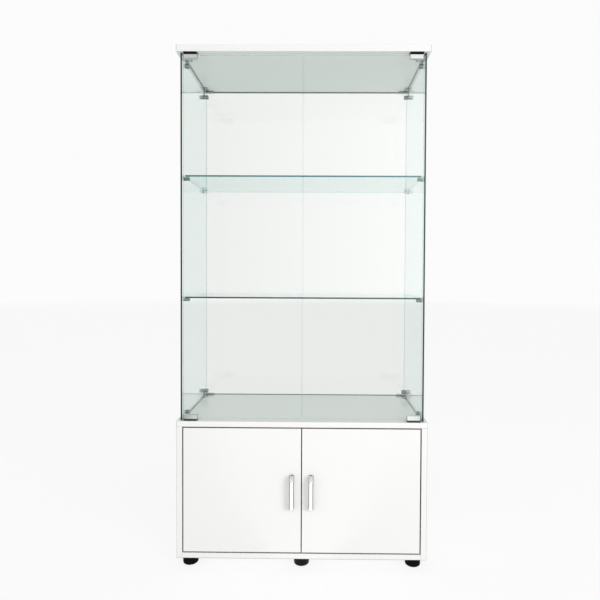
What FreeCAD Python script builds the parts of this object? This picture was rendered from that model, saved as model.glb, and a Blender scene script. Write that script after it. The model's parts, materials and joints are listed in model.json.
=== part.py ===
import FreeCAD, Part
import math
import os
from FreeCAD import Vector

# Glass display case on a cupboard base, in millimetres.
# +X is the viewer's right, +Y the back, +Z up; the floor is Z = 0.

# The case as a whole
case_width = 800.0
case_depth = 365.0
base_height = 440.0
glass_height = 1164.0
top_thickness = 22.0

# Boards of the base
board = 18.0
board_corner = 5.0
board_edge = 1.0
board_low_edge = 2.0
side_inset = 2.0
back_panel = 3.0
back_panel_inset = 12.0
groove_depth = 6.0
groove_clearance = 0.2

# Fittings that pull the base boards together
cam_radius = 7.5
cam_depth = 12.5
cam_reach = 24.0
cam_from_edge = 100.0
cam_clearance = 0.15
bolt_radius = 3.0
bolt_grip = 11.0
dowel_radius = 4.0
dowel_length = 30.0
dowel_from_edge = 60.0
bore_clearance = 0.1

# Feet
foot_height = 30.0
foot_radius = 25.0
foot_sole_radius = 24.5
foot_rounding = 4.0
foot_from_end = 39.0
foot_from_front = 35.0
foot_bore_radius = 6.0
foot_web = 8.0

# Glass panes and shelves
pane = 5.0
pane_arris = 0.5
pane_inset = 12.0
pane_setback = 12.0
back_pane_bond = 0.2
shelf_pitch = 391.5
shelf_side_gap = 3.0
shelf_setback = 38.0
shelf_rear_gap = 6.0

# Glass doors and their pivot clamps
glass_side_gap = 3.0
glass_centre_gap = 3.0
pivot_from_edge = 14.0
pivot_radius = 3.0
pivot_clearance = 0.05
pivot_plate = 3.0
pivot_gap = 0.5
pivot_plate_setback = 1.5
pivot_engagement = 8.0
pivot_screw_margin = 6.0
bush_radius = 6.0
bush_length = 10.0
clamp_length = 42.0
clamp_from_edge = 3.0
clamp_bridge = 3.0
clamp_grip = 12.0
clamp_front_wall = 3.5
clamp_rear_wall = 5.0
clamp_rounding = 1.2
clamp_pad = 0.5
grub_radius = 2.5
grub_spacing = 22.0
socket_size = 2.5
socket_depth = 2.0

# Pane fixings
stud_radius = 3.0
pane_hole_radius = 4.0
cap_radius = 7.0
cap_thickness = 4.0
cap_bore = 3.0
cap_rim = 1.0
peg_radius = 5.5
peg_length = 14.0
peg_flat = 1.5
peg_pad = 1.0
peg_pad_width = 7.0
peg_pad_length = 10.0
peg_from_front = 16.0
peg_from_rear = 40.0
clip_thickness = 2.0
clip_width = 16.0
clip_foot = 18.0
clip_from_front = 66.0
clip_height_top = 20.0
clip_height_bottom = 11.0
clip_head_radius = 8.0
clip_head_length = 8.0
clip_head_rounding = 2.0
bracket_width = 12.0
bracket_from_back = 42.0
bracket_height_top = 35.0
bracket_height_bottom = 24.0
bracket_bar_length = 30.0
bracket_bar_thickness = 6.0
bracket_knob_radius = 7.5
bracket_knob_length = 15.0
bracket_cap_length = 11.0

# Wood screws with a countersunk head
screw_radius = 1.75
screw_head_radius = 3.4
screw_length = 14.0

# Board doors
door_thickness = 16.0
door_gap = 3.5
door_centre_gap = 3.0
door_edge = 0.8

# Handles
handle_reach = 24.0
handle_length = 113.0
handle_width = 16.5
handle_thickness = 9.5
handle_foot = 20.0
handle_leg = 12.0
handle_corner = 20.0
handle_inner_corner = 8.0
handle_rounding = 4.5
handle_hole_spacing = 96.0
handle_from_edge = 29.0
handle_below_middle = 5.0
handle_screw_radius = 2.0
handle_screw_head_radius = 4.0
handle_screw_head = 2.5
handle_screw_grip = 8.0

# Concealed cup hinges of the board doors
hinge_from_end = 80.0
hinge_pin_from_edge = 14.0
hinge_pin_from_face = 7.2
hinge_pin_radius = 1.5
hinge_barrel_radius = 2.4
hinge_pin_clearance = 0.05
cup_radius = 17.5
cup_depth = 12.5
cup_from_edge = 22.5
cup_wall = 0.8
cup_clearance = 0.15
cup_flange = 1.2
cup_flange_margin = 2.5
cup_ear_height = 56.0
cup_ear_width = 12.0
cup_screw_spacing = 45.0
cup_screw_share = 0.75
arm_width = 12.0
arm_thickness = 3.0
arm_inner_radius = 17.5
arm_length = 48.0
arm_plate_thickness = 4.0
arm_plate_width = 18.0
arm_plate_wing = 2.5
arm_plate_wing_width = 14.0
arm_plate_wing_height = 46.0
arm_screw_spacing = 32.0
arm_screw_from_end = 12.0
arm_screw_radius = 2.5
arm_screw_head_radius = 4.0
arm_screw_head = 2.0

# Magnetic catches
catch_length = 40.0
catch_depth = 15.0
catch_height = 14.0
catch_from_centre = 22.0
catch_ear_length = 9.0
catch_ear_height = 4.0
strike_length = 34.0
strike_height = 11.0
strike_thickness = 1.5
strike_from_top = 1.0
catch_gap = 0.4

# Planes that the pieces share
front = -(case_depth - handle_reach) / 2
rear = front + case_depth
half_width = case_width / 2
base_bottom = foot_height
base_top = base_bottom + base_height
glass_top = base_top + glass_height
case_top = glass_top + top_thickness
side_outer = half_width - side_inset
side_inner = side_outer - board
under_top = base_top - board
floor_top = base_bottom + board
pane_outer = half_width - pane_inset
pane_inner = pane_outer - pane
pane_front = front + pane_setback
pane_rear = rear - pane_setback
back_inner = pane_rear - pane
glass_lift = pivot_plate + pivot_gap + clamp_bridge
glass_door_low = base_top + glass_lift
glass_door_high = glass_top - glass_lift
glass_edge = pane_inner - glass_side_gap
pivot_x = glass_edge - pivot_from_edge
pivot_y = pane_front + pane / 2
door_low = floor_top + door_gap
door_high = under_top - door_gap
door_outer = side_inner - door_gap
door_inner = door_centre_gap / 2
door_back = front + door_thickness
panel_rear = rear - back_panel_inset
panel_front = panel_rear - back_panel

right = Vector(1, 0, 0)
back = Vector(0, 1, 0)
up = Vector(0, 0, 1)
node_count = 0


def box(x0, x1, y0, y1, z0, z1):
    return Part.makeBox(x1 - x0, y1 - y0, z1 - z0, Vector(x0, y0, z0))


def rod(radius, start, direction, length):
    return Part.makeCylinder(radius, length, start, direction)


def spin(points, start, direction):
    # Turned piece: (radius, distance) points about an axis
    corners = [Vector(r, 0, h) for r, h in points]
    wire = Part.makePolygon(corners + corners[:1])
    solid = Part.Face(wire).revolve(Vector(0, 0, 0), up, 360)
    turn = FreeCAD.Rotation(up, direction)
    solid.Placement = FreeCAD.Placement(start, turn)
    return solid


def other_side(shape):
    return shape.mirror(Vector(0, 0, 0), right)


def both_sides(shapes):
    return shapes + [other_side(shape) for shape in shapes]


def edges_where(shape, test):
    return [edge for edge in shape.Edges if test(edge)]


def is_along(edge, direction):
    if not isinstance(edge.Curve, Part.Line):
        return False
    return abs(abs(edge.tangentAt(edge.FirstParameter).dot(direction)) - 1) < 1e-6


def drill(shape, tools):
    return shape.cut(Part.makeCompound(tools)) if tools else shape


def save(name, solids):
    global node_count
    node_count += 1
    shape = solids[0] if len(solids) == 1 else Part.makeCompound(solids)
    shape.exportStep("parts/" + name + ".step")


def screw(tip, direction, length=screw_length):
    # Countersunk screw whose head is flush with the point where it goes in
    head = screw_head_radius - screw_radius
    shank = length - screw_radius
    points = [(0, 0), (screw_head_radius, 0), (screw_radius, head)]
    points += [(screw_radius, shank), (0, length)]
    return spin(points, tip, direction)


def screw_hole(tip, direction, length=screw_length):
    radius = screw_radius + bore_clearance
    head_radius = screw_head_radius + bore_clearance
    sink = head_radius - radius
    depth = length + bore_clearance
    points = [(0, 0), (head_radius, 0), (radius, sink), (radius, depth), (0, depth)]
    return spin(points, tip, direction)


def hex_socket(start, direction):
    radius = socket_size / math.sqrt(3)
    corners = []
    for step in range(7):
        angle = math.radians(60 * step)
        corners.append(Vector(radius * math.cos(angle), radius * math.sin(angle), 0))
    prism = Part.Face(Part.makePolygon(corners)).extrude(up * socket_depth)
    prism.Placement = FreeCAD.Placement(start, FreeCAD.Rotation(up, direction))
    return prism


def soft_board(z0, z1):
    # Full-size board with rounded front corners and softened edges
    shape = box(-half_width, half_width, front, rear, z0, z1)
    shape = shape.makeFillet(board_corner, edges_where(shape, lambda e: is_along(e, up)))
    rims = [e for e in shape.Edges if abs(e.BoundBox.ZLength) < 1e-6]
    return shape.makeFillet(board_edge, rims)


def soft_low_edge(shape):
    # Rounds the front edge that faces the floor
    def is_low_front(edge):
        middle = edge.CenterOfMass
        return is_along(edge, right) and middle.z < base_bottom + 1e-6 and middle.y < front + 1e-6
    return shape.makeFillet(board_low_edge, edges_where(shape, is_low_front))


def glass_sheet(x0, x1, y0, y1, z0, z1):
    shape = box(x0, x1, y0, y1, z0, z1)
    return shape.makeChamfer(pane_arris, shape.Edges)


def edge_places(distance):
    return [front + distance, rear - distance]


# Fittings of the base boards

def cam_disc(centre, face_normal, toward_bolt):
    # Disc sunk into a board, with the mouth that takes the bolt's head
    start = centre - face_normal * cam_depth
    disc = rod(cam_radius - cam_clearance, start, face_normal, cam_depth)
    depth = centre - face_normal * (board / 2)
    mouth = rod(bolt_radius + cam_clearance, depth, toward_bolt, cam_radius)
    return disc.cut(mouth)


def cam_bolt(board_face, direction):
    # Screwed into the board face, with its ball head in the cam
    head_start = cam_reach - 1.5 * bolt_radius
    neck_start = head_start - bolt_radius
    neck_radius = bolt_radius / 2
    points = [(0, -bolt_grip), (bolt_radius, -bolt_grip), (bolt_radius, neck_start)]
    points += [(neck_radius, head_start), (bolt_radius, head_start + neck_radius)]
    points += [(bolt_radius, cam_reach), (0, cam_reach)]
    return spin(points, board_face, direction)


def cam_joints():
    # Left-hand joints: (bolt foot, bolt direction, cam centre on its face, cam face normal)
    joints = []
    side_middle = -side_inner - board / 2
    floor_middle = base_bottom + board / 2
    for y in edge_places(cam_from_edge):
        top_foot = Vector(side_middle, y, under_top)
        top_cam = Vector(-side_inner, y, under_top - cam_reach)
        joints.append((top_foot, -up, top_cam, right))
        floor_foot = Vector(-side_inner, y, floor_middle)
        floor_cam = Vector(-side_inner + cam_reach, y, base_bottom)
        joints.append((floor_foot, right, floor_cam, -up))
    return joints


def dowel_starts():
    # Left-hand dowels: (start, direction)
    half = dowel_length / 2
    starts = []
    for y in edge_places(dowel_from_edge):
        starts.append((Vector(-side_inner - board / 2, y, under_top - half), up))
        starts.append((Vector(-side_inner - half, y, base_bottom + board / 2), right))
    return starts


def fitting_bores():
    bores = []
    for foot, direction, cam, normal in cam_joints():
        inward = foot - direction * (bolt_grip + bore_clearance)
        bores.append(rod(bolt_radius + bore_clearance, inward, direction, bolt_grip + cam_reach))
        bores.append(rod(cam_radius, cam - normal * (cam_depth + bore_clearance), normal, cam_depth + 1))
    for start, direction in dowel_starts():
        early = start - direction * bore_clearance
        bores.append(rod(dowel_radius + bore_clearance, early, direction, dowel_length + 2 * bore_clearance))
    return bores


def fittings():
    cams = [cam_disc(cam, normal, -direction) for foot, direction, cam, normal in cam_joints()]
    bolts = [cam_bolt(foot, direction) for foot, direction, cam, normal in cam_joints()]
    dowels = [rod(dowel_radius, start, direction, dowel_length) for start, direction in dowel_starts()]
    save("base_cam_discs", both_sides(cams))
    save("base_cam_bolts", both_sides(bolts))
    save("base_dowels", both_sides(dowels))


# Feet

def foot_places():
    middles = {"left": -(half_width - foot_from_end), "middle": 0.0, "right": half_width - foot_from_end}
    rows = {"front": front + foot_from_front, "rear": rear - foot_from_front}
    return [(row, name, x, y) for row, y in rows.items() for name, x in middles.items()]


def foot(x, y):
    # Tapered foot with a rounded lower rim and a bore for its screw
    rim = foot_rounding * (1 - math.cos(math.pi / 4))
    bore = foot_bore_radius
    hole = screw_radius + bore_clearance
    floor = foot_height - foot_web
    inner = foot_sole_radius - foot_rounding
    start = Vector(bore, 0, 0)
    low = Vector(inner, 0, 0)
    middle = Vector(foot_sole_radius - rim, 0, rim)
    high = Vector(foot_sole_radius, 0, foot_rounding)
    top = Vector(foot_radius, 0, foot_height)
    hole_top = Vector(hole, 0, foot_height)
    hole_low = Vector(hole, 0, floor)
    bore_top = Vector(bore, 0, floor)
    edges = [Part.makeLine(start, low), Part.Arc(low, middle, high).toShape(), Part.makeLine(high, top)]
    edges += [Part.makeLine(top, hole_top), Part.makeLine(hole_top, hole_low)]
    edges += [Part.makeLine(hole_low, bore_top), Part.makeLine(bore_top, start)]
    solid = Part.Face(Part.Wire(edges)).revolve(Vector(0, 0, 0), up, 360)
    solid.translate(Vector(x, y, 0))
    return solid


def foot_screw(x, y):
    # Flat head against the web of the foot
    head = screw_head_radius - screw_radius
    length = foot_web + screw_length
    points = [(0, -head), (screw_head_radius, -head), (screw_head_radius, 0), (screw_radius, 0),
              (screw_radius, length - screw_radius), (0, length)]
    return spin(points, Vector(x, y, foot_height - foot_web), up)


def foot_screw_bores():
    depth = screw_length + bore_clearance
    return [rod(screw_radius + bore_clearance, Vector(x, y, base_bottom), up, depth)
            for row, name, x, y in foot_places()]


def feet():
    for row, name, x, y in foot_places():
        save("foot_" + row + "_" + name, [foot(x, y)])
    save("foot_screws", [foot_screw(x, y) for row, name, x, y in foot_places()])


# Pane fixings, worked out on the left and mirrored

def shelf_low(level):
    return base_top + level * shelf_pitch - pane / 2


def shelf_front():
    return front + shelf_setback


def shelf_rear():
    return back_inner - shelf_rear_gap


def peg_axes(level):
    z = shelf_low(level) - peg_pad - peg_radius + peg_flat
    places = [shelf_front() + peg_from_front, shelf_rear() - peg_from_rear]
    return [Vector(-pane_inner, y, z) for y in places]


def stud(start, direction):
    return rod(stud_radius, start, direction, pane + cap_bore)


def shelf_peg(axis):
    peg = rod(peg_radius, axis, right, peg_length)
    flat_low = axis.z + peg_radius - peg_flat
    y0, y1 = axis.y - peg_radius, axis.y + peg_radius
    flat = box(axis.x, axis.x + peg_length, y0, y1, flat_low, flat_low + peg_radius)
    return peg.cut(flat).fuse(stud(axis, -right)).removeSplitter()


def shelf_pad(axis):
    low = axis.z + peg_radius - peg_flat
    x0 = axis.x + (peg_length - peg_pad_length) / 2 + shelf_side_gap / 2
    half = peg_pad_width / 2
    return box(x0, x0 + peg_pad_length, axis.y - half, axis.y + half, low, low + peg_pad)


def ends():
    # Each end of the glass zone: name, board face and the direction into the zone
    return [("top", glass_top, -1), ("bottom", base_top, 1)]


def lift(face, sign, distance):
    return face + sign * distance


def span(face, sign, near, far):
    return sorted([lift(face, sign, near), lift(face, sign, far)])


def clip_axis(face, sign):
    height = clip_height_top if sign < 0 else clip_height_bottom
    return Vector(-pane_inner, front + clip_from_front, lift(face, sign, height))


def bracket_axis(face, sign):
    height = bracket_height_top if sign < 0 else bracket_height_bottom
    return Vector(-pane_inner, back_inner - bracket_from_back, lift(face, sign, height))


def clip_screw_place(face, sign):
    x = -pane_inner + clip_thickness + (clip_foot - clip_thickness) / 2
    return Vector(x, front + clip_from_front, lift(face, sign, clip_thickness))


def bracket_screw_places(face, sign):
    y = back_inner - bracket_width / 2
    z = lift(face, sign, bracket_bar_thickness)
    near = -pane_inner + bracket_width / 2
    far = -pane_inner + bracket_bar_length - bracket_width / 2
    return [Vector(near, y, z), Vector(far, y, z)]


def clip_leg(axis, width, face, sign):
    # Strip up the pane with a round tip
    half = width / 2
    height = abs(axis.z - face)
    z = span(face, sign, 0, height + half)
    leg = box(axis.x, axis.x + clip_thickness, axis.y - half, axis.y + half, z[0], z[1])
    tips = edges_where(leg, lambda e: is_along(e, right) and abs(e.CenterOfMass.z - face) > height)
    return leg.makeFillet(half - bore_clearance, tips)


def front_clip(face, sign):
    # Bent strip: one leg up the pane, the other on the board
    axis = clip_axis(face, sign)
    half = clip_width / 2
    foot_z = span(face, sign, 0, clip_thickness)
    foot_plate = box(axis.x, axis.x + clip_foot, axis.y - half, axis.y + half, foot_z[0], foot_z[1])
    solid = clip_leg(axis, clip_width, face, sign).fuse(foot_plate).removeSplitter()
    hole = rod(pane_hole_radius, axis, right, clip_thickness)
    return drill(solid, [hole, screw_hole(clip_screw_place(face, sign), up * -sign)])


def rear_bracket(face, sign):
    # The same strip on a longer foot, with a bar that stops the back pane
    axis = bracket_axis(face, sign)
    x0, y0, y1 = axis.x, axis.y - bracket_width / 2, back_inner
    foot_z = span(face, sign, 0, clip_thickness)
    bar_z = span(face, sign, 0, bracket_bar_thickness)
    foot_strip = box(x0, x0 + bracket_width, y0, y1, foot_z[0], foot_z[1])
    tip = x0 + bracket_bar_length
    bar = box(x0, tip, y1 - bracket_width, y1, bar_z[0], bar_z[1])
    round_end = edges_where(bar, lambda e: is_along(e, up) and abs(e.CenterOfMass.x - tip) < 1e-6)
    bar = bar.makeFillet(bracket_width / 2 - bore_clearance, round_end)
    leg = clip_leg(axis, bracket_width, face, sign)
    solid = leg.fuse([foot_strip, bar]).removeSplitter()
    holes = [screw_hole(place, up * -sign) for place in bracket_screw_places(face, sign)]
    return drill(solid, holes + [rod(pane_hole_radius, axis, right, clip_thickness)])


def pane_bolt(axis, head_radius, head_length):
    # Head inside the clip, shank through clip and pane into the outside cap
    start = axis + right * clip_thickness
    head = rod(head_radius, start, right, head_length)
    rims = edges_where(head, lambda e: abs(e.CenterOfMass.x - start.x - head_length) < 1e-6)
    head = head.makeFillet(clip_head_rounding, rims)
    return head.fuse(rod(stud_radius, start, -right, clip_thickness + pane + cap_bore)).removeSplitter()


def cap_places():
    # Where a cap closes a stud on the outer face of the side pane: (place, radius, length)
    studs = [(axis, cap_radius, cap_thickness) for level in (1, 2) for axis in peg_axes(level)]
    for name, face, sign in ends():
        studs.append((clip_axis(face, sign), cap_radius, cap_thickness))
        studs.append((bracket_axis(face, sign), bracket_knob_radius, bracket_cap_length))
    return [(axis - right * pane, radius, length) for axis, radius, length in studs]


def outside_cap(place, radius, length):
    bore = stud_radius + bore_clearance
    bore_end = cap_bore + bore_clearance
    points = [(bore, 0), (radius, 0), (radius, length - cap_rim), (radius - cap_rim, length)]
    points += [(0, length), (0, bore_end), (bore, bore_end)]
    return spin(points, place, -right)


def pane_holes():
    return [rod(pane_hole_radius, place, right, pane) for place, radius, length in cap_places()]


def pane_fixings():
    save("shelf_pegs_lower", both_sides([shelf_peg(axis) for axis in peg_axes(1)]))
    save("shelf_pegs_upper", both_sides([shelf_peg(axis) for axis in peg_axes(2)]))
    save("shelf_pads", both_sides([shelf_pad(axis) for level in (1, 2) for axis in peg_axes(level)]))
    clips, brackets, bolts = [], [], []
    for name, face, sign in ends():
        clips.append(front_clip(face, sign))
        brackets.append(rear_bracket(face, sign))
        bolts.append(pane_bolt(clip_axis(face, sign), clip_head_radius, clip_head_length))
        bolts.append(pane_bolt(bracket_axis(face, sign), bracket_knob_radius, bracket_knob_length))
    save("front_clips", both_sides(clips))
    save("rear_brackets", both_sides(brackets))
    save("pane_bolts", both_sides(bolts))
    save("outside_caps", both_sides([outside_cap(*cap) for cap in cap_places()]))


# Glass panes

def panes():
    side = glass_sheet(-pane_outer, -pane_inner, pane_front, pane_rear, base_top, glass_top)
    side = drill(side, pane_holes())
    save("side_glass_left", [side])
    save("side_glass_right", [other_side(side)])
    reach = pane_inner - back_pane_bond
    rear_pane = glass_sheet(-reach, reach, back_inner, pane_rear, base_top, glass_top)
    save("back_glass", [rear_pane])
    reach = pane_inner - shelf_side_gap
    for level, name in ((1, "lower"), (2, "upper")):
        low = shelf_low(level)
        sheet = glass_sheet(-reach, reach, shelf_front(), shelf_rear(), low, low + pane)
        save("glass_shelf_" + name, [sheet])


# Glass doors and pivot clamps

def clamp_span():
    x0 = -glass_edge + clamp_from_edge
    y0 = pane_front - clamp_pad - clamp_front_wall
    y1 = pane_front + pane + clamp_pad + clamp_rear_wall
    return x0, x0 + clamp_length, y0, y1


def door_end(face, sign):
    return lift(face, sign, glass_lift)


def grub_places(face, sign):
    x0, x1, y0, y1 = clamp_span()
    middle = (x0 + x1) / 2
    z = lift(door_end(face, sign), sign, clamp_grip / 2)
    return [Vector(middle + side * grub_spacing / 2, y1, z) for side in (-1, 1)]


def hinge_clamp(face, sign):
    # Channel over the edge of the door, with its pivot hole and grub screw holes
    x0, x1, y0, y1 = clamp_span()
    end = door_end(face, sign)
    z = span(end, sign, -clamp_bridge, clamp_grip)
    body = box(x0, x1, y0, y1, z[0], z[1])
    body = body.makeFillet(clamp_rounding, body.Edges)
    slot_z = span(end, sign, 0, clamp_grip)
    slot = box(x0, x1, pane_front - clamp_pad, pane_front + pane + clamp_pad, slot_z[0], slot_z[1])
    pivot = rod(pivot_radius + bore_clearance, Vector(-pivot_x, pivot_y, z[0]), up, z[1] - z[0])
    grubs = [rod(grub_radius + bore_clearance, place, -back, clamp_rear_wall)
             for place in grub_places(face, sign)]
    return drill(body, [slot, pivot] + grubs)


def hinge_pads(face, sign):
    x0, x1, y0, y1 = clamp_span()
    z = span(door_end(face, sign), sign, 0, clamp_grip)
    faces = [pane_front - clamp_pad, pane_front + pane]
    return [box(x0 + clamp_rounding, x1 - clamp_rounding, y, y + clamp_pad, z[0], z[1]) for y in faces]


def grub_screw(place):
    screw_body = rod(grub_radius, place, -back, clamp_rear_wall)
    return screw_body.cut(hex_socket(place, -back))


def hinge_pin(face, sign):
    # Stands on the end of the door and runs in the bush of the pivot plate
    start = Vector(-pivot_x, pivot_y, door_end(face, sign))
    length = glass_lift + pivot_engagement
    tip = pivot_radius / 3
    points = [(0, 0), (pivot_radius, 0), (pivot_radius, length - tip)]
    points += [(pivot_radius - tip, length), (0, length)]
    return spin(points, start, up * -sign)


def pivot_screw_places(face, sign):
    first = -pivot_x + bush_radius + pivot_screw_margin
    last = clamp_span()[1] - pivot_screw_margin
    return [Vector(x, pivot_y, lift(face, sign, pivot_plate)) for x in (first, last)]


def pivot_bearing(face, sign):
    # Black plate on the board with a bush sunk into it
    x0, x1, y0, y1 = clamp_span()
    z = span(face, sign, 0, pivot_plate)
    plate = box(x0, x1, front + pivot_plate_setback, y1, z[0], z[1])
    plate = plate.makeFillet(clamp_rounding, edges_where(plate, lambda e: is_along(e, up)))
    seat = Vector(-pivot_x, pivot_y, face)
    bush = rod(bush_radius, seat, up * -sign, bush_length)
    low = Vector(-pivot_x, pivot_y, lift(face, sign, pivot_plate))
    bore = rod(pivot_radius + pivot_clearance, low, up * -sign, pivot_plate + bush_length)
    sinks = [screw_hole(place, up * -sign) for place in pivot_screw_places(face, sign)]
    return drill(plate.fuse(bush).removeSplitter(), [bore] + sinks)


def bush_bore(face, sign):
    seat = Vector(-pivot_x, pivot_y, face)
    return rod(bush_radius + bore_clearance, seat, up * -sign, bush_length + bore_clearance)


def glass_doors():
    leaf = glass_sheet(-glass_edge, -glass_centre_gap / 2, pane_front, pane_front + pane,
                       glass_door_low, glass_door_high)
    save("glass_door_left", [leaf])
    save("glass_door_right", [other_side(leaf)])
    pins, pads, grubs = [], [], []
    for name, face, sign in ends():
        clamp = hinge_clamp(face, sign)
        save("hinge_clamp_" + name + "_left", [clamp])
        save("hinge_clamp_" + name + "_right", [other_side(clamp)])
        pins.append(hinge_pin(face, sign))
        pads += hinge_pads(face, sign)
        grubs += [grub_screw(place) for place in grub_places(face, sign)]
    for node, solids in (("hinge_pins", pins), ("hinge_pads", pads), ("hinge_grub_screws", grubs)):
        save(node + "_left", solids)
        save(node + "_right", [other_side(solid) for solid in solids])
    save("pivot_plates", both_sides([pivot_bearing(face, sign) for name, face, sign in ends()]))


# Screws into the top board and the base's top board

def zone_screws(face, sign):
    # Left-hand screws of one end of the glass zone: (place, direction)
    places = pivot_screw_places(face, sign) + bracket_screw_places(face, sign)
    places.append(clip_screw_place(face, sign))
    return [(place, up * -sign) for place in places]


def catch_screw_places():
    x = -catch_from_centre
    half = catch_ear_length / 2
    xs = [x - catch_length + half, x - half]
    return [Vector(at, catch_front() + catch_depth / 2, under_top - catch_ear_height) for at in xs]


def board_screws():
    places = [pair for name, face, sign in ends() for pair in zone_screws(face, sign)]
    places += [(place, up) for place in catch_screw_places()]
    save("board_screws", both_sides([screw(place, direction) for place, direction in places]))


# Boards

def top_board():
    name, face, sign = ends()[0]
    holes = [bush_bore(face, sign)] + [screw_hole(place, way) for place, way in zone_screws(face, sign)]
    save("top_board", [drill(soft_board(glass_top, case_top), both_sides(holes))])


def base_boards():
    name, face, sign = ends()[1]
    bores = fitting_bores()
    deep = panel_front - groove_clearance
    reach = side_inner + groove_depth
    groove = box(-reach, reach, deep, panel_rear + groove_clearance, floor_top - groove_depth,
                 under_top + groove_depth)
    holes = [bush_bore(face, sign)] + [screw_hole(place, way) for place, way in zone_screws(face, sign)]
    holes += [screw_hole(place, up) for place in catch_screw_places()]
    lid = soft_board(under_top, base_top)
    save("base_top_board", [drill(lid, both_sides(bores + holes) + [groove])])

    hinge_holes = [screw_hole(place, -right) for place in arm_plate_screw_places()]
    side = box(-side_outer, -side_inner, front, rear, base_bottom, under_top)
    side = side.makeFillet(board_edge, edges_where(side, lambda e: is_along(e, up)))
    side = soft_low_edge(side)
    side = drill(side, bores + hinge_holes + [arm_screw_bore(z) for z in hinge_levels()] + [groove])
    save("base_side_left", [side])
    save("base_side_right", [other_side(side)])

    bottom = soft_low_edge(box(-side_inner, side_inner, front, rear, base_bottom, floor_top))
    save("base_bottom_board", [drill(bottom, both_sides(bores) + foot_screw_bores() + [groove])])

    slack = groove_clearance
    panel = box(-reach + slack, reach - slack, panel_front, panel_rear,
                floor_top - groove_depth + slack, under_top + groove_depth - slack)
    save("base_back_panel", [panel])


# Board doors, handles and catches

def handle_x():
    return -(door_inner + handle_from_edge)


def handle_z():
    return (door_low + door_high) / 2 - handle_below_middle


def handle_holes():
    half = handle_hole_spacing / 2
    return [Vector(handle_x(), front, handle_z() + side * half) for side in (-1, 1)]


def handle():
    # Cast grip: a straight bar with round corners on two feet that spread at the door
    half = handle_length / 2
    foot_half = half - handle_foot
    grip_half = half - handle_leg
    outer = front - handle_reach
    inner = outer + handle_thickness
    outline = [(front, -half), (outer, -half), (outer, half), (front, half)]
    outline += [(front, foot_half), (inner, grip_half), (inner, -grip_half), (front, -foot_half)]
    corners = [Vector(-handle_width / 2, y, z) for y, z in outline]
    solid = Part.Face(Part.makePolygon(corners + corners[:1])).extrude(right * handle_width)
    for place, radius in ((outer, handle_corner), (inner, handle_inner_corner)):
        bends = edges_where(solid, lambda e: is_along(e, right) and abs(e.CenterOfMass.y - place) < 1e-6)
        solid = solid.makeFillet(radius, bends)
    rims = edges_where(solid, lambda e: e.BoundBox.XLength < 1e-6 and e.BoundBox.YMin < front - 1e-6)
    solid = solid.makeFillet(handle_rounding, rims)
    solid.translate(Vector(handle_x(), 0, handle_z()))
    bores = [rod(handle_screw_radius + bore_clearance, place, -back, handle_screw_grip + bore_clearance)
             for place in handle_holes()]
    return drill(solid, bores)


def handle_screw(place):
    length = door_thickness + handle_screw_grip
    head = rod(handle_screw_head_radius, place + back * door_thickness, back, handle_screw_head)
    rims = edges_where(head, lambda e: abs(e.CenterOfMass.y - door_back - handle_screw_head) < 1e-6)
    head = head.makeChamfer(handle_screw_head / 3, rims)
    shank = rod(handle_screw_radius, place + back * door_thickness, -back, length)
    return head.fuse(shank).removeSplitter()


def catch_front():
    return door_back + strike_thickness + catch_gap


def catch_body():
    # Magnet case under the board, with a screw ear at each end
    x1 = -catch_from_centre
    x0 = x1 - catch_length
    y0 = catch_front()
    ears = box(x0, x1, y0, y0 + catch_depth, under_top - catch_ear_height, under_top)
    case = box(x0 + catch_ear_length, x1 - catch_ear_length, y0, y0 + catch_depth,
               under_top - catch_height, under_top)
    lower = under_top - catch_height / 4
    case = case.makeFillet(board_edge, edges_where(case, lambda e: e.CenterOfMass.z < lower))
    holes = [screw_hole(place, up) for place in catch_screw_places()]
    return drill(ears.fuse(case).removeSplitter(), holes)


def strike_plate():
    middle = -catch_from_centre - catch_length / 2
    half = strike_length / 2
    z1 = door_high - strike_from_top
    y1 = door_back + strike_thickness
    plate = box(middle - half, middle + half, door_back, y1, z1 - strike_height, z1)
    return plate.makeFillet(board_edge, edges_where(plate, lambda e: is_along(e, back)))


def board_doors():
    leaf = box(-door_outer, -door_inner, front, door_back, door_low, door_high)
    leaf = leaf.makeFillet(door_edge, leaf.Edges)
    bores = [rod(handle_screw_radius + bore_clearance, place, back, door_thickness)
             for place in handle_holes()]
    for z in hinge_levels():
        bores.append(rod(cup_radius, cup_centre(z) - back * cup_depth, back, cup_depth))
        bores += [screw_hole(place - back * cup_flange, -back, cup_screw_length())
                  for place in cup_screw_places(z)]
    leaf = drill(leaf, bores)
    pieces = {"board_door": [leaf], "bow_handle": [handle()], "strike_plate": [strike_plate()],
              "handle_screws": [handle_screw(place) for place in handle_holes()]}
    for name, solids in pieces.items():
        save(name + "_left", solids)
        save(name + "_right", [other_side(solid) for solid in solids])
    save("magnet_catches", both_sides([catch_body()]))


# Concealed hinges: the cup turns on its pin about the hooked arm

def hinge_levels():
    return [door_low + hinge_from_end, door_high - hinge_from_end]


def hinge_axis(z):
    return Vector(-door_outer + hinge_pin_from_edge, front + hinge_pin_from_face, z)


def cup_centre(z):
    return Vector(-door_outer + cup_from_edge, door_back, z)


def cup_screw_length():
    return screw_length * cup_screw_share


def cup_screw_places(z):
    half = cup_screw_spacing / 2
    return [cup_centre(z) + up * (side * half) + back * cup_flange for side in (-1, 1)]


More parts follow.
